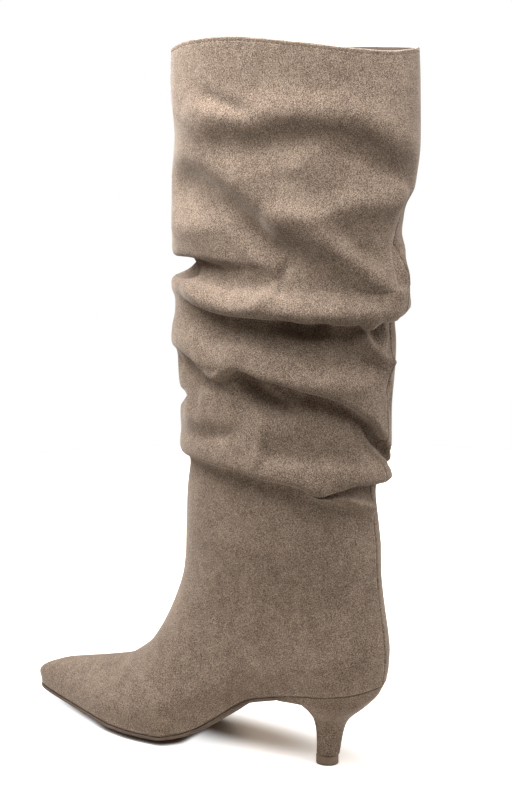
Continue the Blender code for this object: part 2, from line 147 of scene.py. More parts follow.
stations = bootLast["stations"]
bottom = fair(stations["along"], stations["bottom"])
belly = fair(stations["along"], stations["belly"])
swing = fair(stations["along"], stations["swing"])
outlines = {name: fair(swept(stations["along"]), stations[name])
            for name in ("featherOut", "featherIn", "bodyOut", "bodyIn")}
counter = fair(bootLast["counter"]["level"], bootLast["counter"]["along"])


def legShare(level):
    return ease(level, bootLast["legFrom"], bootLast["ankle"])


def levelHeight(level, along):
    share = legShare(level)
    return level + bottom(along) * (1.0 - share) + bootLast["seat"] * share


def levelOf(along, height):
    low, high = 0.0, bootLast["ankle"]
    for _ in range(50):  # halves the span each time
        middle = 0.5 * (low + high)
        if levelHeight(middle, along) < height:
            low = middle
        else:
            high = middle
    return 0.5 * (low + high)


crown = bootLast["crown"]
crownLevels = np.array([levelOf(a, h) for a, h in zip(crown["along"], crown["height"])])
crownAlong = fair(crownLevels, crown["along"])
crownLevel = fair(crown["along"][::-1], crownLevels[::-1])


# The leg and its slouch; turn is 0 at the back, 90 outer, 180 front, 270 inner
legShape = {
    "collar": 433.0,
    "plainRows": 4,
    "foldRoom": 42.0,
    "hangShare": 1.25,
    "twist": 24.0,
    "twistFrom": 338.0,
    "twistTo": 366.0,
    "rows": columns("height back front outer inner", [
        (95, 3.6, 147, 35.5, 35),
        (141, 8, 139.2, 38.5, 38),
        (162, 8.8, 139, 40, 39.5),
        (187, 6, 138.5, 42, 41.5),
        (206, 4, 140, 43, 42.5),
        (226, 3, 142, 44, 43.5),
        (245, 0.5, 144.5, 45, 44.5),
        (268, -2, 145.5, 46, 45.5),
        (290, -3, 145, 47, 46.5),
        (305, -5.5, 145.5, 47.5, 47),
        (321, -2.5, 145.7, 48, 48),
        (338, -4, 146, 49, 49),
        (356, -9.5, 146, 49.5, 49.5),
        (380, -12.5, 143.5, 50, 50),
        (412, -11.8, 146, 50.5, 50.5),
        (442, -10, 144.5, 51, 51),
    ]),
    "rim": columns("turn rise", [
        (0, -1.8), (20, -2.8), (44, -1), (66, 2), (98, 5), (124, 3), (153, -1.5),
        (190, -2.2), (270, 0.1), (330, -0.4),
    ]),
    "folds": [  # front notch, then the three hanging lips
        columns("turn height reach tuck hang", [
            (0, 314, 0, 0, 0), (65, 314, 0, 0.5, 0), (95, 312, 0.5, 3, 0),
            (125, 311.5, 1.2, 9, 2), (160, 309, 0.6, 12.5, 2), (205, 312, 1.6, 11, 2),
            (250, 316, 1, 4, 0.5), (300, 315, 0, 0, 0),
        ]),
        columns("turn height reach tuck hang", [
            (0, 282.5, 5, 4, 2.5), (25, 277.5, 5.5, 8.5, 5), (60, 279.5, 5.5, 9, 6),
            (90, 281, 5, 8, 6), (115, 284, 4, 5, 4), (140, 289, 0.9, 0.5, 0),
            (200, 287, 1.2, 0.5, 0), (235, 281, 4, 6, 4), (290, 277, 6, 9, 6),
            (340, 284, 5, 4, 2.5),
        ]),
        columns("turn height reach tuck hang", [
            (0, 205, 2.4, 3, 1.5), (20, 222, 4, 7, 4), (48, 236, 5, 9, 5.5),
            (79, 244, 5.5, 9, 6), (93, 248.5, 4.5, 9, 5), (100, 246, 4.5, 7, 4),
            (107, 241.5, 4.5, 6, 3.5), (113, 243.5, 4, 5, 3), (121, 250, 3.5, 4.2, 2.4),
            (132, 253.5, 3, 5, 2.5), (146, 255.5, 2.5, 2.2, 1.2),
            (165, 256, 2, 0.8, 0.5), (220, 246, 4, 7, 4), (280, 233, 5.5, 9, 6),
            (330, 191, 1.6, 1.6, 1),
        ]),
        columns("turn height reach tuck hang", [
            (0, 182, 4.6, 4.5, 3), (45, 181, 5, 4.5, 4.5), (82, 185, 5, 4.5, 4.5),
            (105, 189, 4.5, 4, 3.5), (130, 190, 3.5, 3.5, 2.5), (160, 189, 3, 3, 2),
            (215, 188, 4, 4, 3), (270, 183, 5, 4.5, 4.5), (320, 182, 3.6, 4.2, 3),
        ]),
    ],
    "profile": columns("height reach tuck hang", [
        (18, 0.45, 0, 0), (8, 0.95, 0, 0), (0.5, 1.15, 0, 0), (-2.5, 0.30, -0.30, 0.5),
        (-6, 0, -1.05, 1), (-12, 0, -0.95, 0.6), (-21, 0, -0.35, 0),
    ]),
}
leg = {name: fair(legShape["rows"]["height"], legShape["rows"][name])
       for name in ("back", "front", "outer", "inner")}
rim = around(legShape["rim"]["turn"], legShape["rim"]["rise"])
folds = [{name: around(fold["turn"], fold[name]) for name in ("height", "reach", "tuck", "hang")}
         for fold in legShape["folds"]]

# Soft ridges and troughs, given one by one: depth, reach above and below, then turn and height along each
softFolds = {
    "perDegree": 1.08,
    "endFade": (-0.02, 0.24),  # shares of a path over which its ends set in
    "setIn": (150.0, 166.0),  # heights over which all folds set in
    "strokes": [
        # broad drapes of the top tube
        (-4.0, 12, 12, (150, 362), (100, 337), (52, 310)),
        (3.0, 11, 11, (56, 338), (20, 313), (-16, 288)),
        (-2.0, 11, 11, (120, 391), (60, 384), (4, 372)),
        (-3.5, 13, 13, (255, 360), (292, 334), (330, 308)),
        # ridge under the collar, the hollow below it and a small dent above
        (5.2, 11, 9.5, (146, 392), (138, 391), (117, 389), (102, 389), (90, 390), (84, 393), (74, 395.5),
         (59, 395.5), (45, 395.5), (35, 392), (21, 384), (-1, 375), (-14, 368)),
        (2.4, 15, 9, (152, 396), (130, 396), (110, 396), (92, 396)),
        (-2.7, 9, 10, (119, 385), (110, 382.5), (100, 380), (86, 378), (75, 381), (64, 383), (53, 381),
         (43, 372), (25, 363), (-3, 357), (-12, 354)),
        (-2.4, 14, 5, (48, 378), (25, 366), (5, 360), (-14, 357)),
        (-1.8, 3.5, 3, (117, 409), (112, 407), (104, 403), (94, 399), (86, 397)),
        (1.3, 4, 5, (128, 402), (120, 400), (105, 396), (88, 392)),
        (1.3, 4, 5, (72, 361), (69, 366), (64, 373), (58, 380), (52, 387)),
        # long diagonal fold from the front
        (3.6, 14, 8, (154, 371), (141, 370), (125, 370), (113, 368), (98, 359), (88, 352), (78, 342),
         (71, 332), (63, 322), (57, 315)),
        (-2.0, 8, 10, (154, 357), (141, 357), (120, 359), (103, 349), (92, 340), (82, 327), (71, 320),
         (62, 312)),
        (2.4, 10, 8, (154, 329), (143, 329), (116, 330), (100, 333), (92, 335), (84, 331)),
        (1.8, 6, 5, (100, 330), (97, 327), (88, 320), (79, 311), (72, 303)),
        (0.8, 5, 5, (104, 363), (98, 359), (88, 352), (78, 342), (71, 332), (60, 320)),
        (-1.4, 7.5, 6.5, (102, 349), (92, 339), (83, 329), (74, 321), (66, 314)),
        # light band across the back half
        (6.0, 8.5, 13, (80, 347), (71, 345), (65, 342), (58, 339), (52, 340), (45, 345), (35, 348),
         (7, 350), (-8, 351)),
        (1.8, 7, 13, (82, 343), (70, 341), (58, 339), (46, 341)),
        (-1.6, 6, 4, (50, 338), (42, 331), (30, 320), (12, 306)),
        (-1.3, 6, 9, (10, 346), (-10, 344), (-30, 343), (-48, 342)),
        (-2.0, 9, 6, (12, 328), (-8, 327), (-30, 326), (-48, 326)),
        # second diagonal fold, down to the back, with the lobe behind its end
        (5.8, 6, 10, (62, 336), (56, 331.5), (50, 325.5), (42, 318), (28, 306.5), (10, 295), (-6, 289)),
        (-0.5, 8, 7, (74, 322), (64, 309), (55, 303), (39, 298), (21, 291), (8, 287)),
        (-1.8, 2.5, 2.5, (9, 298), (9, 304), (8, 312), (2, 322), (-5, 327)),
        (2.4, 5, 5, (-2, 292), (-1, 304), (-4, 314), (-13, 324)),
        # roll over the first lip, at the front, and its notch
        (-1.5, 6, 4, (128, 302), (121, 301), (108, 299), (93, 297), (82, 299), (76, 306), (71, 314)),
        (2.8, 5, 4, (140, 296), (134, 295), (119, 290), (102, 286), (88, 286), (79, 289), (75, 297),
         (73, 305)),
        (-1.8, 2.5, 2.5, (70, 290), (72, 298), (72, 306), (68, 316)),
        (-6.0, 4, 3, (180, 302), (160, 302), (148, 302), (136, 302), (122, 303)),
        (1.0, 2.6, 8, (180, 294), (160, 294), (148, 294), (130, 294)),
        (3.0, 8, 3, (90, 286), (60, 284), (35, 283), (14, 284), (2, 286)),
        (2.0, 17, 3, (98, 287), (70, 285), (45, 284), (20, 285), (2, 287)),
        # deepest shade under the first lip, pleats and a soft wave on the second tube
        (-2.5, 3, 4, (84, 277), (70, 276), (60, 274), (44, 277)),
        (-5.0, 3.5, 4.5, (76, 279), (70, 277), (64, 275), (57, 273), (52, 276), (46, 279)),
        (4.4, 3.5, 3.5, (27, 285), (26, 278), (26, 271), (19, 262), (1, 254), (-10, 250)),
        (-1.6, 3, 3, (18, 285), (18, 279), (17, 270), (11, 262), (2, 256)),
        (-1.2, 3, 3, (32, 284), (31, 278), (31, 269), (28, 260), (20, 253)),
        (1.2, 2.5, 2.5, (8, 284), (7, 274), (4, 266)),
        (4.2, 8, 7, (34, 270), (24, 268), (12, 264), (4, 261)),
        (-2.0, 6, 6, (76, 255), (63, 255), (47, 254), (30, 254), (2, 252)),
        (1.8, 6, 4, (66, 244), (54, 243), (43, 242), (31, 241), (18, 240)),
        (-1.6, 3.5, 3.5, (5, 247), (2, 239), (-6, 231), (-8, 221)),
        # ridge and hollows under the curl of the second lip
        (3.8, 6, 10, (96, 250), (99, 239), (106, 231), (124, 226)),
        (-7.0, 3.5, 8, (99, 246), (94, 243), (89, 240), (82, 235), (74, 230), (62, 225)),
        (-1.8, 3, 2.5, (118, 246), (113, 246), (106, 246), (98, 248)),
        (-2.4, 5, 5, (160, 245), (145, 245), (130, 244), (118, 241)),
        (2.0, 7, 7, (144, 216), (126, 216), (110, 217), (94, 218)),
        # third tube
        (2.6, 6, 9, (88, 226), (75, 225), (56, 223), (35, 218), (23, 212), (12, 206)),
        (-3.4, 9, 6, (92, 203), (82, 202), (66, 200), (43, 199), (19, 197), (-6, 194)),
        (2.0, 3.5, 3.5, (82, 226), (82, 210), (83, 199), (84, 192)),
        (-1.8, 4, 4, (164, 202), (126, 205), (111, 207), (97, 210), (90, 211)),
        (-4.6, 4, 4, (186, 223), (164, 223), (146, 225), (136, 227)),
        (-3.2, 2.6, 2.6, (26, 223), (20, 218), (10, 209), (-10, 198), (-20, 193)),
        (1.6, 2.5, 2.5, (28, 220), (23, 216), (14, 206), (-6, 192)),
        (2.0, 4, 4, (2, 194), (-14, 191), (-32, 189), (-50, 188)),
        # small second lip under the third, at the back
        (7.6, 4, 5, (62, 182), (49, 179), (30, 174), (8, 167), (-6, 163)),
        (-1.8, 2.5, 2.5, (34, 182), (21, 180), (6, 178), (-8, 178)),
        # inner side, not seen in the photo
        (2.0, 10, 9, (205, 400), (240, 398), (280, 402), (320, 392)),
        (2.4, 13, 5, (208, 374), (238, 364), (262, 350), (284, 332), (300, 314)),
        (2.0, 9, 6, (300, 348), (322, 332), (345, 312)),
        (-1.8, 7, 4, (222, 303), (245, 298), (268, 299), (285, 304)),
        (-1.2, 4, 4, (250, 268), (262, 262), (280, 256)),
        (1.2, 4, 4, (312, 262), (325, 254), (340, 246)),
        (1.0, 5, 5, (262, 218), (266, 206), (270, 198)),
        (-1.8, 4, 3, (318, 214), (330, 206), (345, 198)),
    ],
}


def roundPath(path, steps=6):
    p = np.array(path, float)
    padded = np.concatenate([[2 * p[0] - p[1]], p, [2 * p[-1] - p[-2]]])
    out = []
    for i in range(1, len(padded) - 2):
        for k in range(steps):
            t = k / steps
            a, b, c, d = padded[i - 1:i + 3]
            out.append(0.5 * (2 * b + (c - a) * t + (2 * a - 5 * b + 4 * c - d) * t ** 2
                              + (3 * b - a - 3 * c + d) * t ** 3))
    out.append(p[-1])
    return np.array(out)


def strokeDepth(turn, height, depth, above, below, path):
    path = roundPath(path)
    middle = 0.5 * (path[:, 0].min() + path[:, 0].max())
    scale = np.array([softFolds["perDegree"], 1.0])
    wide = 3.0 * max(above, below)  # nothing is left of the push there
    u = np.mod(turn - middle + 180.0, 360.0) - 180.0 + middle
    low = path.min(0) - wide / scale
    high = path.max(0) + wide / scale
    near = (u > low[0]) & (u < high[0]) & (height > low[1]) & (height < high[1])
    p = np.stack([u[near], height[near]], -1) * scale
    path = path * scale
    best = np.full(len(p), np.inf)
    upper = np.zeros(len(p))
    place = np.zeros(len(p))
    run = 0.0
    for a, b in zip(path[:-1], path[1:]):
        ab = b - a
        size = np.hypot(*ab)
        f = np.clip((p - a) @ ab / size ** 2, 0.0, 1.0)
        d = p - a - f[:, None] * ab
        away = np.hypot(d[:, 0], d[:, 1])
        closer = away < best
        best[closer] = away[closer]
        side = (ab[0] * d[:, 1] - ab[1] * d[:, 0]) * (1.0 if ab[0] >= 0.0 else -1.0)
        upper[closer] = side[closer]
        place[closer] = run + f[closer] * size
        run += size
    width = np.where(upper > 0.0, above, below)
    setIn = [share * run for share in softFolds["endFade"]]
    fade = ease(place, *setIn) * ease(run - place, *setIn)
    total = np.zeros_like(turn)
    total[near] = depth * fade * hump(best, 0.0, width)
    return total


def footRing(level, turn):
    share = legShare(level)
    nose = bootLast["length"] - bootLast["toeTuck"] * (1.0 - ease(level, 0.0, bootLast["tuckLevel"]))
    front = min(nose, crownAlong(level))
    back = counter(level)
    along = 0.5 * (front + back) - 0.5 * (front - back) * np.cos(turn)
    station = (along - back) / (nose - back) * bootLast["length"]
    body = ease(level, 0.0, bootLast["bodyLevel"])
    spot = swept(station)
    outer = outlines["featherOut"](spot) * (1.0 - body) + outlines["bodyOut"](spot) * body
    inner = outlines["featherIn"](spot) * (1.0 - body) + outlines["bodyIn"](spot) * body
    start = min(front, bootLast["instep"])
    behind = np.maximum(start - along, 0.0)
    lean, curve = bootLast["instepLean"]
    leaning = max(level, crownLevel(bootLast["instep"])) + lean * behind + curve * behind ** 2
    top = np.where(along < start, leaning, np.maximum(crownLevel(along), level))
    close = (1.0 - (level / top) ** bootLast["sectionPower"]) ** (1.0 / bootLast["sectionPower"])
    side = np.where(np.sin(turn) >= 0.0, outer, -inner) * close
    height = levelHeight(level, along)
    calf = np.where(np.sin(turn) >= 0.0, leg["outer"](height), leg["inner"](height)) * np.sin(turn)
    x = side * (1.0 - share) + calf * share + swing(along) * (1.0 - share)
    return x, along, height


def drifted(turn, height):  # the top of the leg is twisted a little toward the inner side at the back
    hold = np.maximum(np.cos(np.radians(turn)), 0.0) ** 2
    return turn - legShape["twist"] * hold * ease(height, legShape["twistFrom"], legShape["twistTo"])


def shaftProfile(turn):
    lips = [fold["height"](turn) for fold in folds]
    room = [1.0] + [min(1.0, (a - b) / legShape["foldRoom"]) for a, b in zip(lips[:-1], lips[1:])] + [1.0]
    profile = legShape["profile"]
    top = legShape["collar"] + rim(drifted(turn, legShape["collar"]))
    first = lips[0] + profile["height"][0]
    plain = legShape["plainRows"]
    heights = [top + (first - top) * k / plain for k in range(plain)]
    offsets = [0.0] * plain
    for i, fold in enumerate(folds):
        squeeze = np.where(profile["height"] > 0.0, room[i], room[i + 1])
        hang = legShape["hangShare"] * fold["hang"](turn) * profile["hang"]
        heights.extend(lips[i] + squeeze * profile["height"] + hang)
        offsets.extend(fold["reach"](turn) * profile["reach"] + fold["tuck"](turn) * profile["tuck"])
    heights.append(bootLast["seat"] + bootLast["ankle"])
    offsets.append(0.0)
    return np.array(heights)[::-1], np.array(offsets)[::-1]


def legPoint(turn, height, offset):
    angle = np.radians(turn)
    back = leg["back"](height)
    front = leg["front"](height)
    half = 0.5 * (front - back)
    wide = np.where(np.sin(angle) >= 0.0, leg["outer"](height), leg["inner"](height))
    nx = np.sin(angle) / wide
    na = -np.cos(angle) / half
    size = np.hypot(nx, na)
    x = wide * np.sin(angle) + offset * nx / size
    along = 0.5 * (front + back) - half * np.cos(angle) + offset * na / size
    return x, along, height


def ringNormals(grid):  # outward, level at the two open edges
    sideStep = np.roll(grid, -1, 1) - np.roll(grid, 1, 1)
    normal = np.cross(np.gradient(grid, axis=0), sideStep)
    for row in (0, -1):
        normal[row] = np.cross((0.0, 0.0, 1.0), sideStep[row])
    return normal / np.maximum(np.linalg.norm(normal, axis=-1, keepdims=True), 1e-9)


# Shader nodes
class Wire:  # one socket in a node tree, with sums on it
    def __init__(self, tree, socket=None):
        self.tree = tree
        self.socket = socket

    def node(self, kind, settings=None, inputs=None, output=0):
        made = self.tree.nodes.new(kind)
        for name, value in (settings or {}).items():
            setattr(made, name, value)
        for name, value in (inputs or {}).items():
            if isinstance(value, Wire):
                self.tree.links.new(value.socket, made.inputs[name])
            else:
                made.inputs[name].default_value = value
        return Wire(self.tree, made.outputs[output])

    def sum(self, operation, first, second):
        return self.node("ShaderNodeMath", {"operation": operation}, {0: first, 1: second})

    def __add__(self, other):
        return self.sum("ADD", self, other)

    def __radd__(self, other):
        return self.sum("ADD", other, self)

    def __sub__(self, other):
        return self.sum("SUBTRACT", self, other)

    def __rsub__(self, other):
        return self.sum("SUBTRACT", other, self)

    def __mul__(self, other):
        return self.sum("MULTIPLY", self, other)

    def __rmul__(self, other):
        return self.sum("MULTIPLY", other, self)


def newFinish(name, fixed):
    material = bpy.data.materials.new(name)
    material.use_nodes = True
    shader = material.node_tree.nodes["Principled BSDF"]
    for socket, value in fixed.items():
        shader.inputs[socket].default_value = value
    return material, shader, Wire(material.node_tree)


def feed(shader, socket, wire):
    wire.tree.links.new(wire.socket, shader.inputs[socket])


def noise(sheet, place, scale, detail=2.0, rough=0.5):
    return sheet.node("ShaderNodeTexNoise", None,
                      {"Vector": place, "Scale": scale, "Detail": detail, "Roughness": rough})


def blend(sheet, factor, first, second):  # by number, because the Mix node's sockets share their names
    return sheet.node("ShaderNodeMix", {"data_type": "RGBA", "clamp_factor": True},
                      {0: factor, 6: first, 7: second}, 2)


def rgba(colour):
    return (*colour, 1.0)


def startFinish(name, look):
    material, shader, sheet = newFinish(name, look["fixed"])
    return material, shader, sheet, sheet.node("ShaderNodeTexCoord", output="Object")


def paintAndBump(shader, sheet, look, tone, strength, height):
    feed(shader, "Base Color", blend(sheet, tone, rgba(look["dark"]), rgba(look["light"])))
    bump = sheet.node("ShaderNodeBump", None,
                      {"Strength": strength, "Distance": look["relief"], "Height": height})
    feed(shader, "Normal", bump)


suedeLook = {
    "dark": (0.098, 0.068, 0.0485),
    "light": (0.347, 0.265, 0.202),
    "middle": 0.37,
    "layers": {  # scale, detail, roughness and share in the tone
        "cloud": (34.0, 3.0, 0.5, 0.5),
        "patch": (150.0, 2.0, 0.5, 0.6),
        "grain": (1150.0, 2.0, 0.6, 1.5),
        "nap": (2100.0, 1.0, 0.5, 3.7),
    },
    "fuzz": {"grain": 0.65, "nap": 0.35},  # shares in the bump
    "bump": 0.8,
    "relief": 0.00022,
    "fixed": {"Roughness": 0.95, "Specular IOR Level": 0.1, "Sheen Weight": 0.4, "Sheen Roughness": 0.36,
              "Sheen Tint": (1.0, 0.88, 0.77, 1.0)},
}
leatherMix = {"cloud": 1.1, "roughness": 0.3, "bump": 0.7}
weaveMix = {"cloudScale": 45.0, "cloud": 0.8, "pores": 0.5, "poreMiddle": 0.4, "bump": 0.5}


def suedeFinish(name, look, shade=0.0):
    material, shader, sheet, place = startFinish(name, look)
    layers = {}
    # shade lowers the tone of the whole finish: painted shade, used for the heel cover
    tone = look["middle"] - shade
    for layer, (scale, detail, rough, share) in look["layers"].items():
        layers[layer] = noise(sheet, place, scale, detail, rough)
        tone = tone + (layers[layer] - 0.5) * share
    fuzz = layers["grain"] * look["fuzz"]["grain"] + layers["nap"] * look["fuzz"]["nap"]
    paintAndBump(shader, sheet, look, tone, look["bump"], fuzz)
    return material


def leatherFinish(name, look):
    material, shader, sheet, place = startFinish(name, look)
    cloud = noise(sheet, place, look["cloudScale"], 3.0)
    grain = noise(sheet, place, look["grainScale"], 2.0, 0.6)
    tone = 0.5 + (cloud - 0.5) * leatherMix["cloud"] + (grain - 0.5) * look["grain"]
    feed(shader, "Roughness", look["rough"] + (grain - 0.5) * leatherMix["roughness"])
    paintAndBump(shader, sheet, look, tone, leatherMix["bump"], grain)
    return material


def weaveFinish(name, look):
    material, shader, sheet, place = startFinish(name, look)
    cloud = noise(sheet, place, weaveMix["cloudScale"])
    pores = sheet.node("ShaderNodeTexVoronoi", {"feature": "F1"},
                       {"Vector": place, "Scale": look["poreScale"]})
    tone = 0.5 + (cloud - 0.5) * weaveMix["cloud"] + (pores - weaveMix["poreMiddle"]) * weaveMix["pores"]
    paintAndBump(shader, sheet, look, tone, weaveMix["bump"], pores)
    return material


# Mesh helpers
def newPiece(name, points, faces, materials, faceSlots=None):
    mesh = bpy.data.meshes.new(name)
    mesh.from_pydata((np.asarray(points, float) * toMetres).tolist(), [], faces)
    for material in materials:
        mesh.materials.append(material)
    if faceSlots is not None:
        mesh.polygons.foreach_set("material_index", np.asarray(faceSlots, np.int32))
    mesh.polygons.foreach_set("use_smooth", np.ones(len(mesh.polygons), bool))
    mesh.update()
    piece = bpy.data.objects.new(name, mesh)
    bpy.context.scene.collection.objects.link(piece)
    return piece


def gridFaces(rows, cols, start=0, wrap=False):
    faces = []
    for r in range(rows if wrap else rows - 1):
        here = start + r * cols
        there = start + (r + 1) % rows * cols
        for c in range(cols):
            d = (c + 1) % cols
            faces.append((there + c, there + d, here + d, here + c))
    return faces


def cappedFaces(rows, cols, start=0):  # a loft with a face on each end
    last = start + (rows - 1) * cols
    ends = [tuple(range(start, start + cols)), tuple(range(last, last + cols))[::-1]]
    return gridFaces(rows, cols, start) + ends


def standFor(piece, node):
    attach(piece, "root")
    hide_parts(node)
    return piece


# Upper: outer suede, rounded topline, lining
upperPiece = {
    "wall": 1.8, "columns": 236, "sideCrowd": 0.12,
    "seamTurns": (-1.5, -0.95, -0.55, -0.25, 0.0, 0.25, 0.55, 0.95, 1.5),
    "seamClear": 2.4,  # degrees that the plain columns keep from the seam
    "lowLevels": (0.0, 0.35, 0.8, 1.3, 1.9, 2.6, 3.4),
    "vampLevels": (4.3, 50.0), "vampRows": 74, "ankleLevel": 84.5, "ankleRows": 18,
    "shaftRows": 176, "shaftTop": 9.0,  # wall left to the top rows
    "profileEvery": 15.0, "profileSteps": 1500,
    "topRows": (7.0, 5.5, 4.3, 3.5, 3.0, 2.6, 2.2, 1.8, 1.4, 1.0, 0.5, 0.0),
    "stitchRows": 30, "stitchDrop": 1.2, "stitchDepth": 0.22, "stitchWidth": 0.45,
    "seamDepth": 0.75, "seamWidth": 0.5,
    "seamScale": 0.85,  # millimetres to a degree at the back
    "seamSide": 0.9,  # least cosine of a turn near the seam
    "welt": (0.3, 1.5, 0.8),  # height, distance from the seam, width
    "edgeBead": (0.35, 1.4, 0.9),  # height, level, width
    "edgeTuck": (0.5, 0.45),  # depth, width
    "farOff": 99.0,  # out of reach of seam and edge
    "rimRows": 5, "liningEvery": 3,
    "liningTop": (8, 1),  # last rows of the lining, counted from the top
    "liningEase": (5, 3),  # rows and columns by which the lining clears a trough
}


def upperColumns():
    turn = np.arange(upperPiece["columns"]) * 2.0 * math.pi / upperPiece["columns"]
    turn = np.degrees(turn + upperPiece["sideCrowd"] * np.sin(2.0 * turn))
    clear = upperPiece["seamClear"]
    plain = turn[(turn > clear) & (turn < 360.0 - clear)]
    return np.sort(np.concatenate([plain, np.mod(upperPiece["seamTurns"], 360.0)]))


def evenSteps(count):  # spline places about evenly spaced up the wall, up to just under the top rows
    angles = np.arange(0.0, 360.0, upperPiece["profileEvery"])
    run = 0.0
    for angle in angles:
        heights, offsets = shaftProfile(angle)
        t = np.linspace(0.0, len(heights) - 1.0, upperPiece["profileSteps"])
        run = run + np.hypot(np.gradient(splineAt(heights, t)), np.gradient(splineAt(offsets, t)))
    run = np.cumsum(run) / len(angles)
    return np.interp(np.linspace(run[0], run[-1] - upperPiece["shaftTop"], count), run, t)


def upperSurface():
    turn = upperColumns()
    spec = upperPiece
    low, high = spec["vampLevels"]
    levels = np.concatenate([spec["lowLevels"], np.linspace(low, high, spec["vampRows"]),
                             np.linspace(high, spec["ankleLevel"], spec["ankleRows"] + 1)[1:]])
    rings = [np.stack(footRing(level, np.radians(turn)), -1) for level in levels]
    even = evenSteps(spec["shaftRows"])
    shaft = []
    for angle in turn:
        heights, offsets = shaftProfile(angle)
        top = len(heights) - 1.0 - np.array(spec["topRows"]) / (heights[-1] - heights[-2])
        t = np.concatenate([even, top])
        height = splineAt(heights, t)
        offset = splineAt(offsets, t)
        shaft.append(np.stack(legPoint(drifted(angle, height), height, offset), -1))
    grid = np.concatenate([np.array(rings), np.array(shaft).transpose(1, 0, 2)])
    grid[..., 1] = bootLast["heelBack"] - grid[..., 1]
    return turn, levels, grid


def dressSurface(turn, levels, grid):
    spec = upperPiece
    rows, cols = grid.shape[:2]
    turns = np.mod(drifted(np.broadcast_to(turn, (rows, cols)), grid[..., 2]).ravel(), 360.0)
    height = grid[..., 2].ravel()
    push = np.zeros(rows * cols)
    for depth, above, below, *path in softFolds["strokes"]:
        push += strokeDepth(turns, height, depth, above, below, path)
    push = push.reshape(rows, cols)
    push *= ease(grid[..., 2], *softFolds["setIn"])
    # topline stitch groove
    drop = legShape["collar"] + rim(drifted(turn, legShape["collar"]))[None, :] - grid[..., 2]
    top = np.arange(rows)[:, None] >= rows - spec["stitchRows"]
    push -= np.where(top, spec["stitchDepth"] * hump(drop, spec["stitchDrop"], spec["stitchWidth"]), 0.0)
    # back seam between two raised sides
    bend = np.abs((turn + 180.0) % 360.0 - 180.0)[None, :] * spec["seamScale"]
    onFoot = np.arange(rows)[:, None] < len(levels)
    across = np.where(onFoot, np.abs(grid[..., 0]), bend)
    across = across + np.where(np.cos(np.radians(turn)) > spec["seamSide"], 0.0, spec["farOff"])[None, :]
    rise, at, width = spec["welt"]
    push += rise * hump(across, at, width) - spec["seamDepth"] * hump(across, 0.0, spec["seamWidth"])
    # rolled edge above the sole
    level = np.concatenate([levels, np.full(rows - len(levels), spec["farOff"])])[:, None]
    rise, at, width = spec["edgeBead"]
    depth, reach = spec["edgeTuck"]
    push += rise * hump(level, at, width) - depth * hump(level, 0.0, reach)
    return push


def upperRows():
    turn, levels, base = upperSurface()
    push = dressSurface(turn, levels, base)
    normal = ringNormals(base)
    outer = base + push[..., None] * normal
    wall = upperPiece["wall"]
    deep = np.minimum(push, 0.0)
    for axis, reach in enumerate(upperPiece["liningEase"]):
        deep = np.min([np.roll(deep, k, axis) for k in range(-reach, reach + 1)], 0)
    below = len(outer) - len(upperPiece["topRows"])
    deep[below:] = 0.0
    picks = list(range(0, below, upperPiece["liningEvery"]))
    picks += [len(outer) - k for k in upperPiece["liningTop"]]
    inner = (base + (deep - wall)[..., None] * normal)[picks]
    inner[0, :, 2] = bottom(bootLast["heelBack"] - inner[0, :, 1])
    topOuter, topInner = outer[-1], inner[-1]
    middle = 0.5 * (topOuter + topInner)
    rimRings = []
    for k in range(1, upperPiece["rimRows"] + 1):
        a = math.pi * k / (upperPiece["rimRows"] + 1)
        ring = middle + (topOuter - middle) * math.cos(a)
        ring[:, 2] += 0.5 * wall * math.sin(a)
        rimRings.append(ring)
    return turn, outer, np.array(rimRings), inner[::-1]


suede = suedeFinish("taupe_suede", suedeLook)
# the lining's dark brown is painted shade for the inside of the leg, not the lining's own colour
lining = weaveFinish("lining_painted_shade", {
    "dark": (0.065, 0.045, 0.032), "light": (0.12, 0.086, 0.063), "poreScale": 700.0, "relief": 0.00012,
    "fixed": {"Roughness": 0.8, "Specular IOR Level": 0.25},
})
rawEdge = weaveFinish("pale_raw_edge", {
    "dark": (0.42, 0.34, 0.27), "light": (0.62, 0.53, 0.44), "poreScale": 900.0, "relief": 0.0001,
    "fixed": {"Roughness": 0.9, "Specular IOR Level": 0.2},
})
turnList, outerRows, rimRows, innerRows = upperRows()
upperGrid = np.concatenate([outerRows, rimRows, innerRows])
upperFaces = gridFaces(len(upperGrid), len(turnList), wrap=True)
faceRow = np.repeat(np.arange(len(upperGrid)), len(turnList))
onRaw = faceRow > len(outerRows)
onLining = faceRow >= len(outerRows) + len(rimRows)
underEdge = faceRow == len(upperGrid) - 1  # closes the wall above the sole
upperSlots = np.where(underEdge, 0, onRaw * 2 - onLining)
upper = newPiece("boot_upper", upperGrid.reshape(-1, 3), upperFaces, [suede, lining, rawEdge], upperSlots)
standFor(upper, "upper")
print("upper:", len(upperFaces) * 2, "triangles")


# Topline stitches
stitchRow = {
    "length": 2.1, "pitch": 3.0, "radius": 0.2, "sides": 6, "lift": -0.1, "sink": 0.25, "samples": 2881,
    "legMiddle": (0.0, -26.0),
    "stops": ((-0.5, 0.25), (-0.42, 0.8), (-0.2, 1.0), (0.2, 1.0), (0.42, 0.8), (0.5, 0.25)),  # place, size
}


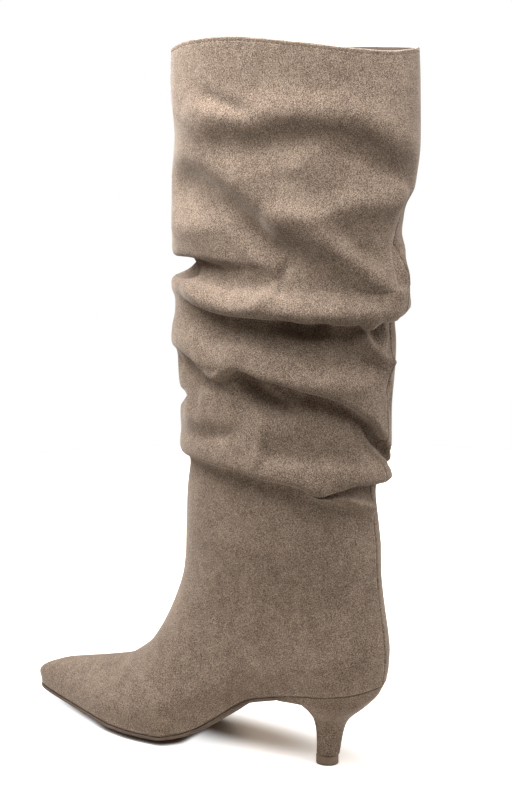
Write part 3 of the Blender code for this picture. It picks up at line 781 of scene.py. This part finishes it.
def toplineStitches():
    spec = stitchRow
    fine = np.linspace(0.0, 360.0, spec["samples"])
    height = legShape["collar"] + rim(fine) - upperPiece["stitchDrop"]
    x, along, z = legPoint(fine, height, np.full_like(fine, spec["lift"]))
    line = np.stack([x, bootLast["heelBack"] - along, z], -1)
    run = np.concatenate([[0.0], np.cumsum(np.linalg.norm(np.diff(line, axis=0), axis=1))])
    count = int(run[-1] / spec["pitch"])
    points, faces = [], []
    for i in range(count):
        start = run[-1] * (i + 0.5) / count
        ends = [start + k * spec["length"] for k in (-0.5, 0.5)]
        tail, head = np.stack([np.interp(ends, run, line[:, axis]) for axis in range(3)], -1)
        way = head - tail
        way /= np.linalg.norm(way)
        out = np.cross(way, (0.0, 0.0, 1.0))
        out /= np.linalg.norm(out)
        rise = np.cross(out, way)
        middle = 0.5 * (tail + head)
        if np.dot(out[:2], middle[:2] - spec["legMiddle"]) < 0.0:
            out = -out
        faces += cappedFaces(len(spec["stops"]), spec["sides"], len(points))
        for place, size in spec["stops"]:
            sink = spec["sink"] * (2.0 * place) ** 4
            centre = middle + way * place * spec["length"] - out * sink
            for k in range(spec["sides"]):
                a = 2.0 * math.pi * k / spec["sides"]
                points.append(centre + spec["radius"] * size * (out * math.cos(a) + rise * math.sin(a)))
    return points, faces


thread = leatherFinish("stitch_thread", {
    "dark": (0.07, 0.048, 0.034), "light": (0.15, 0.11, 0.08), "cloudScale": 60.0, "grainScale": 1800.0,
    "grain": 0.8, "rough": 0.7, "relief": 0.00005, "fixed": {"Specular IOR Level": 0.3},
})
stitchPoints, stitchFaces = toplineStitches()
stitches = newPiece("topline_stitches", stitchPoints, stitchFaces, [thread])
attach(stitches, "root")
print("stitches:", len(stitchFaces), "faces")


# Sole line shared by outsole, insole and heel
soleLine = {"steps": 721, "roundTurns": (0.5, 1.0, 1.57)}


def soleSide(along, spread):  # outer and inner x of the sole's edge
    turn = np.linspace(0.0, math.pi, soleLine["steps"])
    sides = []
    for sign in (1.0, -1.0):
        x, a, _ = footRing(0.0, sign * turn)
        dx = np.gradient(x)
        da = np.gradient(a)
        size = np.maximum(np.hypot(dx, da), 1e-9)
        x = x + sign * spread * da / size
        a = a - sign * spread * dx / size
        sides.append(np.interp(along, a, x))
    return sides


def soleEnds(spread):
    return counter(0.0) - spread, bootLast["length"] - bootLast["toeTuck"] + spread


def roundedCorner(x, z, r, under=False):
    turns = soleLine["roundTurns"]
    if under:
        return [(x + r * math.cos(k), z - r * math.sin(k)) for k in turns]
    return [(x + r * math.sin(k), z + r * math.cos(k)) for k in turns]


def mirrored(right, low, middle, along):  # a closed section from its right half and its lowest point
    left = [(-x, z) for x, z in right[1:]][::-1]
    return [(middle + x, bootLast["heelBack"] - along, z) for x, z in right + [(0.0, low)] + left]


outsolePiece = {
    "start": 60.0, "taperTo": 67.0, "taper": 0.06, "gap": 0.3, "edge": 0.55, "thick": 2.0, "round": 0.55,
    "treadShare": 0.62, "treadSteps": (0.25, 0.5, 0.75, 1.0),
    "treadColumns": (11, 13),  # columns of edge before and after the tread
    "stations": 156, "toeCrowd": 1.9, "leastHalf": 0.35,
}


def outsoleLoops():
    spec = outsolePiece
    end = soleEnds(spec["edge"])[1]
    t = np.linspace(0.0, 1.0, spec["stations"])
    along = spec["start"] + (end - spec["start"]) * (1.0 - (1.0 - t) ** spec["toeCrowd"])
    outerX, innerX = soleSide(along, spec["edge"])
    rings = []
    for a, xo, xi in zip(along, outerX, innerX):
        slim = 1.0 - spec["taper"] * (1.0 - ease(a, spec["start"], spec["taperTo"]))
        half = max(0.5 * (xo - xi), spec["leastHalf"]) * slim
        top = bottom(a) - spec["gap"]
        low = top - spec["thick"]
        tread = low - belly(a)
        r = min(spec["round"], 0.5 * half)
        flat = spec["treadShare"] * half
        flank = half - r
        right = [(0.0, top), (0.5 * flank, top), (flank, top), *roundedCorner(flank, top - r, r)]
        right += [(half, 0.5 * (top + low)), (half, low + r), *roundedCorner(flank, low + r, r, True)]
        right += [(flank + (flat - flank) * k, low + (tread - low) * k * k * (3 - 2 * k))
                  for k in spec["treadSteps"]]
        right += [(0.5 * flat, tread)]
        rings.append(mirrored(right, tread, 0.5 * (xo + xi), a))
    return np.array(rings)


soleLook = {
    "dark": (0.060, 0.038, 0.026), "light": (0.150, 0.102, 0.072), "cloudScale": 60.0, "grainScale": 700.0,
    "grain": 0.5, "rough": 0.6, "relief": 0.00008, "fixed": {"Specular IOR Level": 0.3},
}
treadLook = dict(soleLook, dark=(0.115, 0.078, 0.055), light=(0.225, 0.162, 0.118), relief=0.00015)
soleEdge = leatherFinish("sole_edge", soleLook)
soleTread = leatherFinish("sole_tread", treadLook)
soleRings = outsoleLoops()
soleCols = soleRings.shape[1]
soleFaces = cappedFaces(len(soleRings), soleCols)
edgeBefore, edgeAfter = outsolePiece["treadColumns"]
onTread = [edgeBefore <= i % soleCols <= soleCols - edgeAfter for i in range(len(soleFaces) - 2)]
soleSlots = onTread + [False, False]
outsole = newPiece("outsole_sheet", soleRings.reshape(-1, 3), soleFaces, [soleEdge, soleTread], soleSlots)
standFor(outsole, "outsole")
print("outsole:", len(soleFaces), "faces")


# Insole with its sock
insolePiece = {
    "inset": 2.2, "thick": 2.0, "lift": 0.02, "round": 0.6, "stations": 120, "leastHalf": 0.4,
    "flatShares": (0.0, 0.35, 0.7),
}


def insoleLoops():
    spec = insolePiece
    low, high = soleEnds(-spec["inset"])
    t = np.linspace(0.0, math.pi, spec["stations"])
    along = 0.5 * (low + high) - 0.5 * (high - low) * np.cos(t)
    outerX, innerX = soleSide(along, -spec["inset"])
    rings = []
    for a, xo, xi in zip(along, outerX, innerX):
        half = max(0.5 * (xo - xi), spec["leastHalf"])
        under = bottom(a) + spec["lift"]
        top = under + spec["thick"]
        r = min(spec["round"], 0.5 * half)
        right = [(share * half, top) for share in spec["flatShares"]]
        right += [(half - r, top), *roundedCorner(half - r, top - r, r), (half, under), (0.5 * half, under)]
        rings.append(mirrored(right, under, 0.5 * (xo + xi), a))
    return np.array(rings)


sock = leatherFinish("sock_leather", {
    "dark": (0.40, 0.32, 0.245), "light": (0.58, 0.49, 0.39), "cloudScale": 40.0, "grainScale": 800.0,
    "grain": 0.5, "rough": 0.65, "relief": 0.0001, "fixed": {"Specular IOR Level": 0.3},
})
insoleRings = insoleLoops()
insoleFaces = cappedFaces(len(insoleRings), insoleRings.shape[1])
insole = newPiece("sock_insole", insoleRings.reshape(-1, 3), insoleFaces, [sock])
standFor(insole, "insole")
print("insole:", len(insoleFaces), "faces")


# Covered heel
heelPiece = {
    "front": 70.0,
    "columns": 96,
    "rowsEach": 7,
    "gap": 0.3,
    "inset": -0.25,
    "seatCorner": 6.0,
    "seatPower": 8.0,
    "seatLeast": 0.9,
    # share by which the heel cover's suede is painted darker, for the shade that falls on the heel
    "shade": 0.13,
    "sections": columns("heightBack heightFront back front halfWidth corner", [
        (6.3, 6.3, 32.6, 46.4, 6.8, 2.8),
        (14, 14, 31.4, 46.2, 7.3, 2.8),
        (19.6, 19.6, 30.4, 46.3, 7.9, 2.8),
        (25.4, 25.4, 28.8, 47, 9, 2.8),
        (30, 30, 26.2, 47.8, 11.2, 2.8),
        (34, 34.2, 22.2, 49.2, 14.6, 3),
        (38, 38.6, 17.4, 52, 18.2, 3.4),
        (43, 41.9, 12.2, 57, 21.2, 4.2),
        (48.4, 40.8, 7.4, 69.7, 22.6, 5),
    ]),
}


def heelSection(back, front, halfWidth, corner, count):
    turn = np.arange(count) * 2.0 * math.pi / count
    middle = 0.5 * (front + back)
    half = 0.5 * (front - back)
    power = np.where(np.cos(turn) < 0.0, 2.0 / corner, 1.0)
    along = middle - half * np.sign(np.cos(turn)) * np.abs(np.cos(turn)) ** power
    x = halfWidth * np.sign(np.sin(turn)) * np.abs(np.sin(turn)) ** power
    return x, along


def heelRings():
    spec = heelPiece
    guide = []
    for heightBack, heightFront, back, front, half, corner in zip(*spec["sections"].values()):
        x, along = heelSection(back, front, half, corner, spec["columns"])
        part = (along - back) / (front - back)
        guide.append(np.stack([x, along, heightBack + (heightFront - heightBack) * part], -1))
    back = soleEnds(spec["inset"])[0]
    x, along = heelSection(back, spec["front"], 1.0, spec["seatCorner"], spec["columns"])
    outerX, innerX = soleSide(along, spec["inset"])
    part = np.clip((along - 0.5 * spec["front"]) / (0.5 * spec["front"]), 0.0, 1.0)
    close = np.maximum(1.0 - part ** spec["seatPower"], 0.0) ** (1.0 / spec["seatPower"])
    close = np.maximum(close, spec["seatLeast"])
    close = np.where(np.abs(x) < 1e-9, 0.0, close)
    x = np.where(x > 0.0, outerX, innerX) * close
    guide.append(np.stack([x, along, bottom(along) - spec["gap"]], -1))
    guide = np.array(guide)
    count = (len(guide) - 1) * spec["rowsEach"] + 1
    t = np.linspace(0.0, len(guide) - 1.0, count)
    knots = np.arange(len(guide), dtype=float)
    rings = np.empty((count, spec["columns"], 3))
    for c in range(spec["columns"]):
        for axis in range(3):
            rings[:, c, axis] = fair(knots, guide[:, c, axis])(t)
    rings[..., 1] = bootLast["heelBack"] - rings[..., 1]
    return rings


def loftPiece(name, rings, materials):
    faces = gridFaces(len(rings), rings.shape[1])
    cols = rings.shape[1]
    points = rings.reshape(-1, 3).tolist()
    for row, flip in ((0, False), (len(rings) - 1, True)):
        points.append(rings[row].mean(0).tolist())
        for c in range(cols):
            tri = (row * cols + c, row * cols + (c + 1) % cols, len(points) - 1)
            faces.append(tri[::-1] if flip else tri)
    return newPiece(name, points, faces, materials)


# heel cover in the same suede, painted darker for the shade on the heel
shadedHeelSuede = suedeFinish("heel_suede", suedeLook, heelPiece["shade"])
heel = loftPiece("heel_cover", heelRings(), [shadedHeelSuede])
standFor(heel, "heel")
print("heel:", len(heel.data.polygons), "faces")


# Heel tip
tipPiece = {
    "thick": 6.0, "half": 6.5, "front": 46.6, "corner": 3.0, "columns": 96, "round": 0.7,
    "lowEdge": ((0.0, 1.0), (0.12, 0.55), (0.4, 0.2), (1.0, 0.0)),  # height and inset, by the rounding
    "topEdge": ((1.0, 0.0), (0.4, 0.2), (0.0, 1.0)),
}


def tipRings():
    spec = tipPiece
    back = 2.0 * bootLast["heelBack"] - spec["front"]
    r = spec["round"]
    rows = [(height * r, inset * r) for height, inset in spec["lowEdge"]]
    rows += [(0.5 * spec["thick"], 0.0)]
    rows += [(spec["thick"] - height * r, inset * r) for height, inset in spec["topEdge"]]
    rings = []
    for height, inset in rows:
        x, along = heelSection(back + inset, spec["front"] - inset, spec["half"] - inset, spec["corner"],
                               spec["columns"])
        rings.append(np.stack([x, bootLast["heelBack"] - along, np.full_like(x, height)], -1))
    return np.array(rings)


tipLook = dict(soleLook, dark=(0.15, 0.102, 0.070), light=(0.27, 0.19, 0.136), rough=0.7)
tip = loftPiece("heel_top_piece", tipRings(), [leatherFinish("tip_rubber", tipLook)])
standFor(tip, "heel_tip")
print("heel tip:", len(tip.data.polygons), "faces")


# Studio: floor, surround, lights
studio = {
    "world": (1.0, 0.93, 0.85),
    "worldStrength": 0.24,
    "lightColour": (0.98, 1.0, 1.03),
    "lights": [
        {"name": "top_box", "at": (0.089, -0.193, 0.878), "size": 0.4, "power": 3.4},
        {"name": "left_box", "at": (0.187, -0.350, 0.671), "size": 0.35, "power": 4.9},
        {"name": "front_box", "at": (0.300, 0.137, 0.671), "size": 0.35, "power": 2.3},
        {"name": "back_box", "at": (0.057, 0.198, 0.751), "size": 0.4, "power": 1.3},
        {"name": "right_box", "at": (-0.563, 0.851, 0.535), "size": 0.7, "power": 7.4},
    ],
    "target": (0.0, -0.05, 0.25),
    "floorRadius": 900.0,
    "floorLevel": -0.15,
    # the floor's diffuse colour is a warm tint, seen only inside the painted shadow, standing in for light
    # thrown back from the boot
    "paintedShadowTint": (0.95, 0.80, 0.67),
    # painted shade: the floor's colour turns near black where the boot is within the nook reach, under the
    # shank
    "paintedNookShade": (0.08, 0.05, 0.03),
    # painted shadow: an ellipse under the arch, placed on the floor, in which the glow fades out; its
    # middle, direction, half length and half width
    "shadeAt": (-0.015, -0.080),
    "shadeWay": (0.04, 0.999),
    "shadeHalf": (0.14, 0.034),
    "shadeFrom": 0.15,
    # painted contact shadow: the glow also fades where the boot is within the contact reach
    "contact": 0.005,
    "contactSpan": (0.3, 0.75),
    "nook": 0.03,
    "nookSpan": (0.1, 0.75),
    "nearSamples": 12,
    "bounce": (0.76, 0.73, 0.69),
    "bounceRadius": 320.0,
    "bounceAt": (0.0, -90.0),
    "bounceLevel": -0.1,
    "surround": ((895.0, -1.0), (5000.0, -1.0), (5000.0, 6000.0)),  # radius and level of each ring
    "sides": 96,
}


def addLight(spec):
    data = bpy.data.lights.new(spec["name"], "AREA")
    data.shape = "SQUARE"
    data.size = spec["size"]
    data.energy = spec["power"]
    data.color = studio["lightColour"]
    light = bpy.data.objects.new(spec["name"], data)
    light.location = spec["at"]
    light.rotation_mode = "QUATERNION"
    light.rotation_quaternion = (Vector(studio["target"]) - Vector(spec["at"])).to_track_quat("-Z", "Y")
    bpy.context.scene.collection.objects.link(light)


def softStep(sheet, value, low, high):
    return sheet.node("ShaderNodeMapRange", {"interpolation_type": "SMOOTHSTEP"},
                      {"Value": value, "From Min": low, "From Max": high})


def openness(sheet, reach, span):  # 1 where nothing is near
    clear = sheet.node("ShaderNodeAmbientOcclusion", {"samples": studio["nearSamples"]},
                       {"Distance": reach}, "AO")
    return softStep(sheet, clear, *span)


def floorFinish():
    material, shader, sheet, place = startFinish("floor_white_painted_shadow", {
        "fixed": {"Roughness": 0.9, "Specular IOR Level": 0.0, "Emission Strength": 1.0},
    })
    # the floor glows white outside a painted shadow: an ellipse under the arch, times a rim along the sole
    # where the boot is near
    x, y = [sheet.node("ShaderNodeSeparateXYZ", None, {"Vector": place}, axis) for axis in "XY"]
    (cx, cy), (wx, wy) = studio["shadeAt"], studio["shadeWay"]
    run = ((x - cx) * wx + (y - cy) * wy) * (1.0 / studio["shadeHalf"][0])
    aside = ((x - cx) * wy - (y - cy) * wx) * (1.0 / studio["shadeHalf"][1])
    far = sheet.node("ShaderNodeMath", {"operation": "SQRT"}, {0: run * run + aside * aside})
    unshaded = softStep(sheet, far, studio["shadeFrom"], 1.0)
    # painted contact shadow along the sole, from nearby geometry
    glow = unshaded * openness(sheet, studio["contact"], studio["contactSpan"])
    # painted shade in the nook under the shank: the colour blends from near black where the boot is close to
    # the warm shadow tint elsewhere
    pale = openness(sheet, studio["nook"], studio["nookSpan"])
    feed(shader, "Base Color", blend(sheet, pale, rgba(studio["paintedNookShade"]), rgba(studio["paintedShadowTint"])))
    feed(shader, "Emission Color", blend(sheet, glow, (0.0, 0.0, 0.0, 1.0), (1.0, 1.0, 1.0, 1.0)))
    return material


def ringAt(radius, level, middle=(0.0, 0.0)):
    angles = np.linspace(0.0, 2.0 * math.pi, studio["sides"] + 1)[:-1]
    circle = np.stack([np.cos(angles), np.sin(angles)], -1)
    return np.column_stack([circle * radius + middle, np.full(studio["sides"], level)])


def disc(name, points, finish):
    return newPiece(name, points, [tuple(range(len(points)))], [finish])


def addStudio():
    world = bpy.data.worlds.new("studio")
    world.use_nodes = True
    back = world.node_tree.nodes["Background"]
    back.inputs["Color"].default_value = rgba(studio["world"])
    back.inputs["Strength"].default_value = studio["worldStrength"]
    bpy.context.scene.world = world
    for spec in studio["lights"]:
        addLight(spec)
    floor = disc("floor", ringAt(studio["floorRadius"], studio["floorLevel"]), floorFinish())
    dull = newFinish("floor_bounce", {"Base Color": rgba(studio["bounce"]), "Roughness": 1.0,
                                      "Specular IOR Level": 0.0})[0]
    below = ringAt(studio["bounceRadius"], studio["bounceLevel"], studio["bounceAt"])
    bounce = disc("floor_bounce", below, dull)
    bounce.visible_camera = False
    bounce.visible_shadow = False
    wallLook = newFinish("surround_white", {
        "Base Color": (0.0, 0.0, 0.0, 1.0), "Emission Color": (1.0, 1.0, 1.0, 1.0), "Emission Strength": 1.0,
        "Specular IOR Level": 0.0,
    })[0]
    wallRings = [ringAt(radius, level) for radius, level in studio["surround"]]
    wallFaces = gridFaces(len(wallRings), studio["sides"])
    wall = newPiece("surround", np.concatenate(wallRings), wallFaces, [wallLook])
    for piece in (floor, wall):  # they light and shade nothing
        piece.visible_diffuse = False
        piece.visible_glossy = False
        piece.visible_shadow = False


# Camera: turn and tilt in degrees, places in metres
photoCamera = {
    "turn": 32.0, "tilt": 11.13, "away": 1.04649, "height": 0.43347, "aside": -0.04436,
    "sensor": 36.0, "lens": 80.939, "clip": (0.05, 50.0),
}


def addCamera():
    spec = photoCamera
    turn = math.radians(spec["turn"])
    tilt = math.radians(spec["tilt"])
    side = Vector((-math.sin(turn), math.cos(turn), 0.0))
    look = Vector((-math.cos(turn) * math.cos(tilt), -math.sin(turn) * math.cos(tilt), -math.sin(tilt)))
    data = bpy.data.cameras.new("photo_camera")
    data.sensor_width = spec["sensor"]
    data.lens = spec["lens"]
    data.clip_start, data.clip_end = spec["clip"]
    camera = bpy.data.objects.new("photo_camera", data)
    place = Vector((spec["away"] * math.cos(turn), spec["away"] * math.sin(turn), spec["height"]))
    camera.location = place + spec["aside"] * side
    camera.rotation_mode = "QUATERNION"
    camera.rotation_quaternion = look.to_track_quat("-Z", "Y")
    bpy.context.scene.collection.objects.link(camera)
    bpy.context.scene.camera = camera


addStudio()
addCamera()
bpy.context.scene.view_settings.view_transform = "Standard"
print("studio and camera set")
